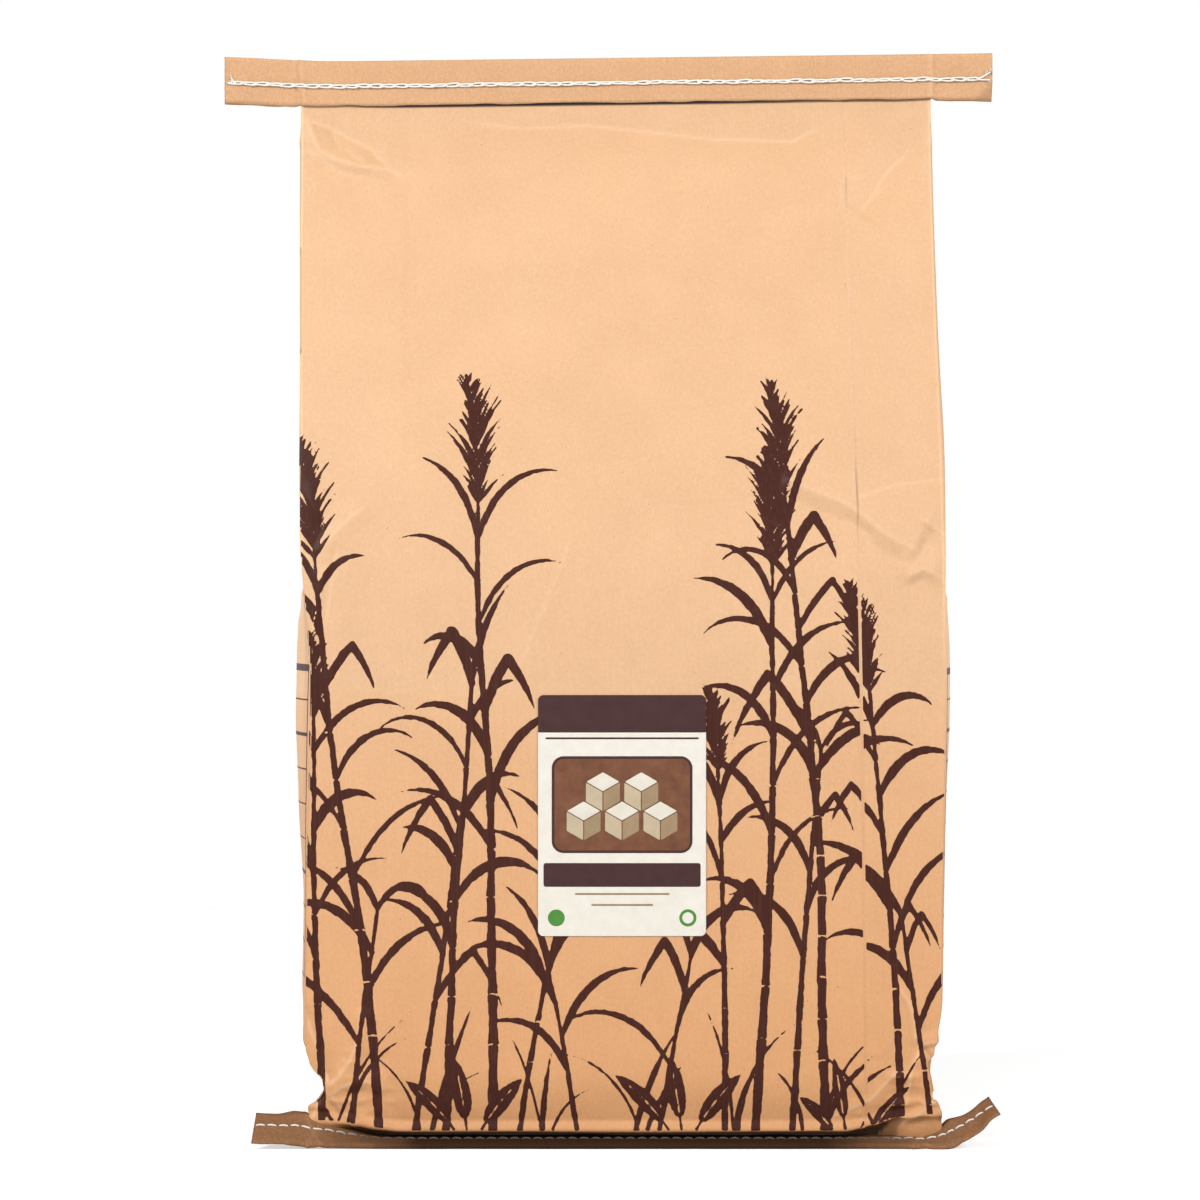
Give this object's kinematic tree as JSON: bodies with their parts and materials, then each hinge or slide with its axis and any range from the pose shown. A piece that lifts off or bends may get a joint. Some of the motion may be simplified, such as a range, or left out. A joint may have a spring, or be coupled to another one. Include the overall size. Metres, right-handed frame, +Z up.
{
  "type": "bag of sugar",
  "caption": "Sewn kraft paper sack of sugar with side gussets, folded tape over both seams and a blank label, standing upright on its base.",
  "frame": {"origin": "middle of the sack's flat base, on the surface it stands on", "axes": "+Z up, +Y towards the back; the front panel with the label faces -Y and +X is to its right"},
  "size_m": [0.4366, 0.1441, 0.6098],
  "materials": {
    "kraft_paper": "matte kraft paper with dark brown print",
    "crepe_tape": "matte crepe paper tape",
    "thread": "matte cotton thread",
    "label_paper": "satin coated paper"
  },
  "bodies": {
    "root": {"sack": "kraft_paper", "top_tape": "crepe_tape", "bottom_tape": "crepe_tape", "top_chain_thread": "thread", "top_needle_thread": "thread", "bottom_needle_thread": "thread", "bottom_chain_thread": "thread", "label": "label_paper"}
  },
  "joints": []
}
